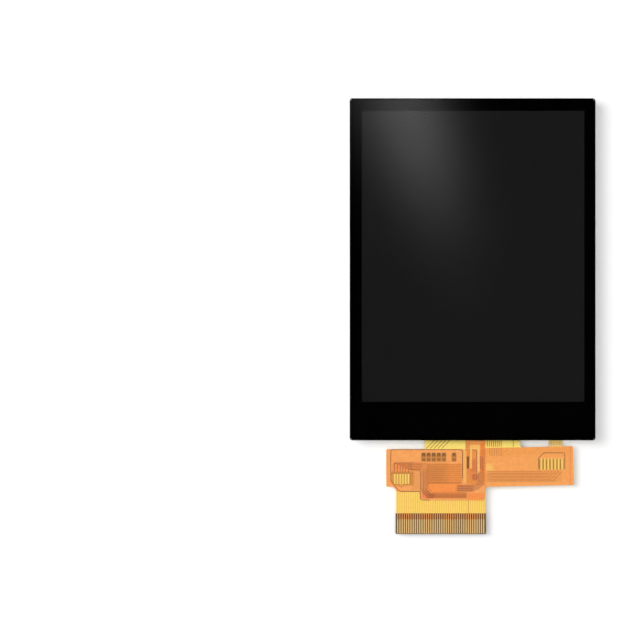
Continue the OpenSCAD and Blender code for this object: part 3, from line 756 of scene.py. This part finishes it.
@dataclass
class DisplayCircuit:
    """The circuit that carries the contacts, with its arm and what is soldered on it."""

    frame_w: float = 0.2  # width of the dark frame round the arm's pads
    frame_gap: Point = (0.42, 1.25)  # gap from the pads to that frame, at the sides and at the top
    frame_chamfer: float = 1.2  # its chamfered corner
    rim: float = 0.4  # width of the dark rims of the tail's end
    arm_holes: HoleRow = HoleRow(14, 0.84, 0.11)  # the plated holes along the arm
    neck_holes: HoleRow = HoleRow(9, 0.72, 0.1, zigzag=0.35)  # those at the root of the neck
    fillet: float = 0.35  # radius of a fillet of solder, as a share of its capacitor's width
    fillet_h: float = 0.22  # height of the fillet
    fillet_top: float = 1.35  # radius of its head, as a share of its foot's

    def __post_init__(self) -> None:
        """Reads the places that the detail follows."""
        self.glass = Extent.of("cover_glass")
        self.cover = Extent.of("display_flex_cover")
        self.tail = Extent.of("tail_stiffener")
        self.fingers = Extent.of("contact_fingers")
        self.pads = Extent.of("lamp_pads")
        self.lines = Extent.of("arm_tracks")
        self.touch = Extent.of("touch_flex")
        self.caps = Extent.of("flex_capacitors")
        self.arm = (self.tail.high.x, self.cover.high.x)
        self.sides = inset(self.tail.x, -1, -1)

    def build(self) -> None:
        """Dresses the solids and adds the fine detail."""
        self._base_film()
        self._cover_film()
        self._metal()
        self._pad_frame()
        self._vias()
        self._solder()

    def _base_film(self) -> None:
        """The base film and the stiffener behind its contacts."""
        tail, cover, sides = self.tail, self.cover, self.sides
        neck = (cover.middle.y, self.glass.high.y)
        lines = self.touch.high.x + 0.4
        bare = (tail.low.y - 1, self.fingers.high.y)
        ends = (bare[0], tail.high.y)
        zones = (
            # The neck is bare film, paler than where copper lies, and its yellow is lifted further as
            # painted light against the glass's shadow.
            Zone("neck", (-100, 100), neck, "ffe670"),
            Zone("neck beside the touch circuit", (lines, lines + 3.6), neck, "ffde6a", soft=0.5),
            Zone("copper behind the body", inset(tail.x, 0.6, 1.2), inset(cover.y, 1.6, 4.2),
                 "f0be54", radius=0.8, share=0.6),
            Zone("tracks behind the body", inset(tail.x, 1.2, 1.8), inset(cover.y, 2.2, 4.8),
                 "e0a43e", ruled=(0.6, 0.22), share=0.6),
            Zone("tracks behind the arm", inset(self.arm, 0, 3.2), self.lines.y, "e8ac42",
                 ruled=(0.5, 0.22), share=0.7),
            Zone("covered contacts", sides, (bare[1], ends[1]), "5c2c0e", soft=0.05),
            Zone("bare contacts", sides, bare, "140a05", soft=0.05),
            Zone("left rim", (sides[0], tail.low.x + self.rim), ends, "504c36", soft=0.05),
            Zone("right rim", (tail.high.x - self.rim, sides[1]), ends, "343624", soft=0.05),
        )
        dress(Film("yellow_film", "ffd962", zones, shade="e29e34", grain=0.2), "display_flex")
        dress(Plastic("amber_laminate", "704222", "7e4e2a", 0.4), "tail_stiffener")

    def _cover_film(self) -> None:
        """The second layer, over the body and the arm."""
        arm, pads, touch = self.arm, self.pads, self.touch
        slot = (touch.low.x + SLOT[0], touch.low.x + SLOT[1])
        head, lines = self.cover.high.y, self.lines.high.y
        band = (self.lines.low.y - 0.1, pads.low.y - 0.25)
        pitch = (pads.size.x - 0.4) / (len(solids_along_x("lamp_pads")) - 1)
        zones = (
            Zone("head of the arm", arm, (head - 2.1, head), "fca44c", soft=0.8),
            Zone("lines below the neck", (arm[0] + 0.6, arm[0] + 3.9), (head - 2.3, head),
                 "c47028", ruled=(0.52, 0.18), upright=True, share=0.6),
            Zone("bright copper", (arm[0], arm[0] + 1.5), (lines - 0.4, lines + 1.5), "ffc460", soft=0.5),
            Zone("copper round the lines", inset(arm, 0, 2.6), band, "f4a04e", soft=0.3),
            Zone("dotted copper", inset(arm, 1, 4), band, "cc7832", ruled=(0.72, 0.18), share=0.4),
            Zone("edge of the arm's copper", (arm[1] - 0.95, arm[1] - 0.68), self.cover.y,
                 "f8864a", share=0.7),
            Zone("ground round the pads", inset(pads.x, -0.45, -0.3), inset(pads.y, 0.1, 0.1),
                 "dc9836", soft=0.3),
            Zone("shade beside the pads", inset(pads.x, -0.5, 0.05), inset(pads.y, 0, 0.2),
                 "946a1e", ruled=(pitch, 0.26), upright=True, share=0.8),
            Zone("slot", slot, (touch.high.y - 14, head), "ffbe60", soft=0.05),
        )
        dress(Film("orange_film", "ffa854", zones, grain=0.3), "display_flex_cover")

    def _metal(self) -> None:
        """The tracks, the contacts, the pads and the capacitors."""
        tail, right = self.tail, self.tail.high.x
        zones = (
            Zone("lone line", (right - 4.1, right - 3.8), (tail.high.y, self.cover.low.y),
                 "be8028", share=0.8),
            Zone("covered contacts", self.sides, tail.y, "ffac5c", soft=0.05),
        )
        dress(Film("tail_copper", "fac050", zones, edge="d6a046"), "tail_tracks")
        dress(Film("neck_copper", "a4761a", edge="96701c"), "neck_tracks")
        dress(Film("arm_copper", "da863c", edge="c87836"), "arm_tracks")
        dress(Metal("plated_gold", "e6bc7a", "d8ae6e", 0.42, metallic=0.5), "contact_fingers")
        dress(Metal("bright_gold", "ffda70", "f6ca62", 0.4, metallic=0.35), "lamp_pads")
        dress(ChipPart("capacitor_body", self.caps.size.y, (self.caps.middle.y,), upright=True),
              "flex_capacitors")

    def _pad_frame(self) -> None:
        """A dark frame line round the arm's pads."""
        beside, above = self.frame_gap
        left, right = inset(self.pads.x, -beside, -beside)
        low, high = inset(self.pads.y, 0.2, -above)
        slant = self.frame_chamfer
        shape = Shape(self.cover.high.z)
        shape.ribbon([(left, low), (left, high - slant), (left + slant, high), (right, high),
                      (right, low)], self.frame_w, bend=0.3)
        shape.finish("arm_pad_frame", Plastic("dark_outline", "b27028", "9c5e1e", 0.5))

    def _vias(self) -> None:
        """Plated holes in the arm and at the root of the neck."""
        shape = Shape(self.cover.high.z)
        shape.holes(self.arm_holes, self.arm[0] + 0.9, self.lines.high.y - 0.3)
        shape.holes(self.neck_holes, self.arm[0] + 1.2, self.cover.high.y - 1.3)
        shape.finish("arm_vias", Plastic("via_rim", "de8442", "ce763a", 0.4))

    def _solder(self) -> None:
        """A fillet of solder at each end of each capacitor."""
        shape = Shape(self.caps.high.z - self.fillet_h)
        for low, high in solids_along_x("flex_capacitors"):
            for y in self.caps.y:
                shape.disc((low + high) / 2, y, (high - low) * self.fillet, self.fillet_h,
                           self.fillet_top)
        tin = Metal("solder_tin", "c8c8c4", "b8b8b6", 0.3)
        shape.finish("capacitor_solder", tin, Slot.SOLDER)


@dataclass
class TouchCircuit:
    """The circuit of the touch panel, with the lines and fields that show in its film."""

    slot: Point = SLOT  # the sides of the slot, from the film's left edge
    trunk: float = 6.7  # the body's left side, from the film's left edge
    shoulder: float = 9.6  # the foot of the left end, from the film's head
    slope: Point = (1.9, 2.4)  # the slanted corner of that foot
    edge_w: float = 0.15  # width of the dark line along the film's edge: its cut edge, with painted shadow under it
    frame_w: float = 0.12  # width of the printed lines round the pads
    returns: int = 5  # number of lines that turn from the neck to the body's middle
    return_pitch: float = 0.27  # distance from one such line to the next
    return_w: float = 0.13  # width of one
    column_w: float = 0.16  # width of the line down the neck's middle
    turns: int = 3  # number of broad lines that turn from the left column to the foot
    turn_pitch: float = 0.42  # distance from one of them to the next
    turn_w: float = 0.2  # width of one
    via_rows: int = 7  # rows of plated holes in the neck
    via_pitch: Point = (0.46, 0.44)  # distance between them, across and down
    via_r: float = 0.16  # radius of one
    ring_at: Point = (2.2, 6.25)  # middle of a ring of plated holes, from the neck's corner
    ring: tuple[int, float, float] = (8, 0.42, 0.1)  # how many they are, its radius and theirs

    def __post_init__(self) -> None:
        """Reads the places that the detail follows."""
        self.flex = Extent.of("touch_flex")
        self.pads = Extent.of("touch_pads")
        self.caps = Extent.of("flex_capacitors")
        self.face = Extent.of("touch_tracks").low.z
        self.head = Extent.of("flex_tape").high.y + 0.4
        self.left, self.right = self.flex.x
        self.body = Corner(self.left + self.trunk, self.head)
        self.neck = Corner(self.left + self.slot[1], self.head)

    def build(self) -> None:
        """Dresses the solids and adds the fine detail."""
        self._film()
        self._metal()
        self._edge_lines()
        self._pad_frame()
        self._returns()
        self._turned_lines()
        self._vias()

    def _left_fields(self) -> list[Zone]:
        """The fields round the pads, in the left end."""
        at, body = Corner(0, self.head).zone, self.body.x
        pads = left, right = inset(self.pads.x, -0.3, -0.45)
        return [
            at("ground beside the pads", (right + 0.3, body), (9.2, 4.6), "f2a052", soft=0.8),
            at("shade beside the pads", inset(pads, -0.3, -0.6), (8.2, 5.0), "dc8636",
               soft=0.5, radius=0.3),
            at("ground round the pads", pads, (8.1, 5.4), "e8a442", soft=0.3),
            at("shade between the pads", pads, (7.8, 5.5), "96701e", ruled=(0.62, 0.2),
               upright=True, share=0.7),
            at("lines over the pads", (left + 0.1, body + 0.4), (4.7, 2.9), "f6924c",
               soft=0.5, radius=0.4),
            at("lines to the column", (right - 0.3, body + 0.6), (4.6, 3.1), "ee944a", soft=0.5),
            at("lines to the column, ruled", (right - 0.6, body + 0.2), (4.6, 2.9),
               "b66226", ruled=(0.5, 0.16), share=0.45),
        ]

    def _body_fields(self) -> list[Zone]:
        """The fields of copper that show through the body."""
        at, slot = self.body.zone, self.slot[0] - self.trunk
        return [
            at("left column", (0.3, 1.75), (10.1, 4.4), "ea9648", soft=0.3),
            at("left column, ruled", (0.3, 1.75), (10.1, 4.4), "fab060",
               ruled=(0.48, 0.16), upright=True, share=0.6),
            at("copper field", (1.7, slot - 0.2), (7.75, 3.3), "f2923c", soft=0.3),
            at("darker copper", (1.5, 5.9), (7.8, 3.4), "da8436", soft=2.4),
            at("ruled copper", (1.7, slot - 0.2), (7.7, 3.3), "be6a2c", ruled=(0.5, 0.15), share=0.5),
            at("foot of the copper", (1.8, slot - 0.5), (7.9, 7.5), "c46a28", soft=0.25, share=0.6),
            at("bright field", (1.85, slot), (9.9, 7.8), "ff943c", radius=0.4, soft=0.15),
            at("turned lines", (8.2, slot + 2.5), (9.65, 8.05), "de843e", radius=0.6, soft=0.6),
            at("turned lines, ruled", (8.4, slot + 2.2), (9.65, 8.05), "b05a2a",
               ruled=(0.52, 0.18), share=0.6),
            at("foot lines", (1.3, slot + 0.8), (11.0, 10.0), "d67e36", soft=0.2),
            at("foot lines, ruled", (1.9, slot + 0.7), (11.0, 10.05), "964a20",
               ruled=(0.47, 0.2), share=0.65),
            at("corner of the foot", (0.4, 1.7), (11.1, 10.0), "f68640", radius=0.4, soft=0.4),
        ]

    def _neck_fields(self) -> list[Zone]:
        """The fields in the neck, at the right of the slot."""
        at, wide = self.neck.zone, self.right - self.neck.x
        x, y = self.ring_at
        return [
            at("neck", (-0.3, wide), (8.2, -3), "ec8e3a", soft=0.4),
            at("root of the neck", (0, wide), (0, -2), "f6a258", soft=0.6),
            at("light beside the slot", (-0.5, 0.2), (7.8, 0.4), "ffb65c", soft=0.3),
            at("grid", (0.1, 1.1), (0.2, -1.6), "b26228", ruled=(0.46, 0.18), share=0.6),
            at("bright patch", (1.5, 3.2), (0, -1.05), "ffc460", radius=0.2, soft=0.25),
            at("orange field", (1.45, 2.4), (4.9, 0.1), "f49240", soft=0.2),
            at("foot of the orange field", (1.3, 2.45), (5.1, 2.2), "e27638", soft=0.8),
            at("bright strip", (1.07, 1.42), (4.2, -1.0), "ffce68"),
            at("foot of the bright strip", (0.95, 1.4), (4.3, 2.4), "fabe60", soft=0.3),
            at("dark strip", (0.3, 0.84), (4.35, 1.6), "84440c", radius=0.1, soft=0.2),
            at("second bright strip", (2.72, 3.2), (5.4, -1.0), "ffc46e"),
            at("right column", (3.4, wide), (7.2, -1.4), "f48830", soft=0.25),
            at("right column, ruled", (3.5, wide - 0.1), (5.0, 0.2), "ba5c1e",
               ruled=(0.5, 0.2), share=0.5),
            at("plated copper", (1.4, 2.9), (7.1, 5.5), "d8783c", radius=0.6, soft=0.4),
            at("ring", (x - 0.45, x + 0.45), (y + 0.45, y - 0.45), "965428", radius=0.44,
               outline=0.18, share=0.6),
            at("bright corner", (0.4, wide - 0.05), (11.5, 9.9), "ff9440", radius=0.5, soft=0.5),
        ]

    def _parts_behind(self) -> list[Zone]:
        """The capacitors behind the film, which show as darker marks: partly the parts seen through it,
        partly painted shade.
        """
        low, high = self.caps.y
        caps = (high - 0.14, 0.42, "5c4614"), (low + 0.26, 0.34, "8e5e1e")
        marks = []
        # Each mark is painted shade round a capacitor, with its caps seen darker through the film and a
        # lighter gap in the solder.
        for sides in solids_along_x("flex_capacitors"):
            marks.append(Zone("capacitor", inset(sides, -0.15, -0.15), self.caps.y, "cc8238", soft=0.3))
            for y, tall, colour in caps:
                marks.append(Zone("cap of a capacitor", inset(sides, 0.02, 0.02),
                                  (y - tall, y + tall), colour, soft=0.22, share=0.9))
                marks.append(Zone("gap in the solder", inset(sides, 0.3, 0.3),
                                  (y - tall - 0.1, y - 0.05), "de924a", soft=0.2, share=0.6))
        return marks

    def _film(self) -> None:
        """The film, with all that shows through it."""
        zones = (*self._left_fields(), *self._body_fields(), *self._neck_fields(), *self._parts_behind())
        dress(Film("red_film", "ffa856", zones, edge="965424"), "touch_flex")

    def _metal(self) -> None:
        """The tracks, the pads, the tape and the parts below."""
        zones = (
            Zone("lines over the pads", inset(self.pads.x, -0.4, -0.7),
                 (self.pads.high.y, self.head - 2.8), "924c18", soft=0.3, share=0.8),
            self.body.zone("corner of the foot", (0, 1.3), (11.3, 10.3), "f68640"),
        )
        dress(Film("touch_copper", "ce7632", zones, edge="ba682c"), "touch_tracks")
        dress(Metal("bright_gold_pads", "fcd66a", "f0c65c", 0.4, metallic=0.35), "touch_pads")
        dress(Plastic("paper_tape", "d8d2c4", "cec8ba", 0.6), "flex_tape")
        dress(Plastic("chip_package", "222224", "2a2a2c", 0.45, grain=14, depth=0.008),
              "touch_controller")
        sides = solids_along_x("touch_capacitors")
        length = sides[0][1] - sides[0][0]
        middles = tuple((low + high) / 2 for low, high in sides)
        dress(ChipPart("small_capacitor", length, middles, cap=0.26), "touch_capacitors")

    def _edge_lines(self) -> None:
        """The dark line along the film's edge, which is its cut edge with painted shadow under it, and
        the line inside its left end.
        """
        rim, head = self.edge_w / 2, self.head
        left, slot, body = self.left + rim, self.left + self.slot[0] - rim, self.body.x + rim
        top, foot, low = head - rim, head - self.shoulder + rim, self.flex.low.y + rim
        shape = Shape(self.face)
        shape.ribbon(
            [(slot, head - 6.6), (slot, top), (left, top), (left, foot + self.slope[1]),
             (left + self.slope[0], foot), (body, foot), (body, low), (body + 2.2, low)],
            self.edge_w, bend=0.5,
        )
        shape.ribbon([(self.pads.high.x + 0.4, head - 4.65), (body, head - 4.65), (body, foot)],
                     self.edge_w, bend=0.6)
        shape.finish("touch_edge_line", Plastic("dark_edge", "9e541e", "864416", 0.5))

    def _pad_frame(self) -> None:
        """The printed frame round the pads, with a notch that points down, and a line above."""
        left, right = inset(self.pads.x, -0.3, -0.35)
        low, high = inset(self.pads.y, -0.12, -0.12)
        middle, above = self.pads.middle.x, self.head - 3.0
        shape = Shape(self.face)
        shape.ribbon(
            [(left, low + 0.7), (left + 0.45, low), (middle - 0.5, low), (middle - 0.35, low - 0.4),
             (middle, low - 0.62), (middle + 0.35, low - 0.4), (middle + 0.5, low), (right, low)],
            self.frame_w,
        )
        shape.ribbon([(left - 0.3, high), (right + 0.5, high)], self.frame_w)
        shape.ribbon([(left + 0.1, high + 0.3), (left + 0.1, above), (self.pads.high.x + 1.2, above)],
                     self.frame_w, bend=0.8)
        shape.finish("touch_pad_frame", Plastic("olive_print", "ba7024", "a8621e", 0.5))

    def _returns(self) -> None:
        """Lines that come down the right of the neck and turn to the body's middle."""
        shape = Shape(self.face)
        for i in range(self.returns):
            step = i * self.return_pitch
            x, y = self.right - 0.35 - step, self.head - 9.3 + step
            shape.ribbon([(x, self.head - 5.0), (x, y), (self.left + 15.2, y)], self.return_w,
                         bend=2.4 - step)
        at = self.neck.at
        shape.ribbon([at(1.55, 0.1), at(2.5, 0.1), at(2.5, 5.5)], self.column_w, bend=0.4)
        shape.finish("touch_return_lines", Plastic("dark_copper", "ba682e", "aa5c26", 0.45))

    def _turned_lines(self) -> None:
        """Broad lines that turn, on a slant, from the left column to the foot."""
        shape = Shape(self.face)
        for i in range(self.turns):
            step = i * self.turn_pitch
            x, y = self.body.at(0.42 + step, 10.95 - step)
            slant = 1.5 - step * (2 - math.sqrt(2))
            shape.ribbon(
                [(x, self.head - 5.2), (x, y + slant), (x + slant, y), (x + slant + 1.2, y)],
                self.turn_w, height=3 * PRINT_T,
            )
        turn = self.body.zone("turn", (-1, 6), (11.4, 9.3), "aa582c", soft=1.2)
        shape.finish("touch_turned_lines", Film("turned_copper", "d67e44", (turn,)))

    def _vias(self) -> None:
        """Plated holes in two staggered columns, and in a ring."""
        shape = Shape(self.face)
        across, down = self.via_pitch
        for row in range(self.via_rows):
            for column in range(2):
                shape.disc(self.right - 0.95 + column * across,
                           self.head - 1.7 - (row + column / 2) * down, self.via_r)
        count, radius, hole_r = self.ring
        x, y = self.neck.at(*self.ring_at)
        for i in range(count):
            turn = math.tau * i / count
            shape.disc(x + radius * math.cos(turn), y + radius * math.sin(turn), hole_r)
        shape.finish("touch_vias", Plastic("dark_via_rim", "b04e18", "9c4012", 0.4))


# ---- Studio ----


@dataclass
class Studio:
    """A pale table, soft light from the upper left, and a camera straight above."""

    view_w: float = 144.8  # width of what the camera sees, in millimetres
    view_middle: Point = (-34.53, -11.47)  # where it looks, from the middle of the cover glass
    distance: float = 1000.0  # from the camera to the face of the glass
    sensor: float = 36.0  # width of the camera's sensor
    slant: Point = (0.74, -0.28)  # how far a shadow falls for each millimetre of height
    key: float = 0.38  # light from the main lamp, as a share of the whole
    spread: float = 36.0  # breadth of the main lamp, in degrees
    over: float = 0.44  # light from the soft panel overhead
    focus: int = 24  # how closely that light keeps to straight above
    beam_ridge: Point = (12.4, 0.27)  # middle of the gleam at the glass's head, and its lean
    beam_spread: Point = (6.2, 7.0)  # width of the gleam at its right and its left
    beam_fall: float = 16.6  # length over which the gleam fades down the glass
    beam_level: float = 1.2  # strength of the gleam
    hood: Point = (0.985, 0.85)  # height, as a share, where the dark hood starts, and the light below it
    table_glow: float = 0.07  # what the table adds to its own colour for the camera
    table_half: float = 3.0  # half of the table's side, in metres
    sight: float = 10.0  # how far the camera sees, in metres

    def build(self) -> None:
        """Adds the table, the lamp, the surroundings and the camera."""
        self.glass = Extent.of("cover_glass")
        self._table()
        self._lamp()
        self._surroundings()
        self._camera()

    def _table(self) -> None:
        """A white table that the module lies on."""
        shape = bmesh.new()
        bmesh.ops.create_grid(shape, x_segments=1, y_segments=1, size=self.table_half)
        data = bpy.data.meshes.new("table")
        shape.to_mesh(data)
        shape.free()
        table = bpy.data.objects.new("table", data)
        bpy.context.scene.collection.objects.link(table)
        graph = Graph(bpy.data.materials.new("table_white"))
        data.materials.append(graph.show(graph.principled(
            Base_Color=(0.98, 0.98, 0.98, 1),
            Roughness=0.9,
            Specular_IOR_Level=0.0,
            Emission_Color=WHITE,
            Emission_Strength=graph.ray("Camera") * self.table_glow,
        )))

    def _lamp(self) -> None:
        """The main lamp, broad and far off."""
        sun = bpy.data.lights.new("key", "SUN")
        way = Vector((*self.slant, -1)).normalized()
        sun.energy = self.key * math.pi / -way.z
        sun.angle = math.radians(self.spread)
        lamp = bpy.data.objects.new("key", sun)
        lamp.rotation_mode = "QUATERNION"
        lamp.rotation_quaternion = way.to_track_quat("-Z", "Y")
        bpy.context.scene.collection.objects.link(lamp)

    def _surroundings(self) -> None:
        """Soft light, strongest from overhead, with a dark hood that only mirrors show."""
        bpy.context.scene.world = bpy.data.worlds.new("studio")
        graph = Graph(bpy.context.scene.world)
        split = graph.add("ShaderNodeSeparateXYZ")
        graph.feed(split.inputs[0], graph.add("ShaderNodeTexCoord").outputs["Generated"])
        across, up, height = (Value(graph, socket) for socket in split.outputs)
        panel = height.greater(0).sum("POWER", self.focus) * (self.over * (self.focus + 2) / 2)
        below = height.below(0, 0.1)
        light = panel + (1 - self.key - self.over) + below * (self.key + self.over)
        mirrored = height.below(self.hood[0], 0.02) * self.hood[1] + self._gleam(across, up, height)
        strength = light + (mirrored - light) * graph.ray("Glossy")
        strength = strength + (strength * -1 + 1) * graph.ray("Camera")
        sky = graph.add("ShaderNodeBackground")
        graph.feed(sky.inputs["Color"], WHITE)
        graph.feed(sky.inputs["Strength"], strength)
        graph.show(sky)

    def _gleam(self, across: Value, up: Value, height: Value) -> Value:
        """A soft beam overhead that the glass mirrors at its upper left."""
        right = across * self.distance + (self.view_middle[0] + self.glass.size.x / 2)
        drop = up * -self.distance + (self.glass.size.y / 2 - self.view_middle[1])
        off = right - (drop * self.beam_ridge[1] + self.beam_ridge[0])
        spread = off.below(0, 4) * (self.beam_spread[1] - self.beam_spread[0]) + self.beam_spread[0]
        off = off.sum("DIVIDE", spread)
        fall = (drop + 1.5) * (1 / self.beam_fall)
        shape = ((off * off + fall * fall) * -0.5).sum("EXPONENT")
        return shape * height.above(0.9, 0.02) * self.beam_level

    def _camera(self) -> None:
        """A long lens that looks straight down."""
        data = bpy.data.cameras.new("camera")
        data.sensor_width = self.sensor
        data.lens = self.sensor * self.distance / self.view_w
        data.clip_end = self.sight
        camera = bpy.data.objects.new("camera", data)
        middle = self.glass.middle + Vector((*self.view_middle, 0))
        camera.location = Vector((middle.x, middle.y, self.glass.high.z + self.distance)) * MM
        bpy.context.scene.collection.objects.link(camera)
        bpy.context.scene.camera = camera


def main() -> None:
    """Dresses the module, adds its fine detail and sets up the studio."""
    logging.basicConfig(level=logging.INFO, format="%(name)s: %(message)s")
    for part in (TouchPanel(), Cell(), Backlight(), DisplayCircuit(), TouchCircuit(), Studio()):
        part.build()
        log.info("built %s", type(part).__name__)
    bpy.context.scene.view_settings.view_transform = "Standard"


if __name__ == "__main__":
    main()
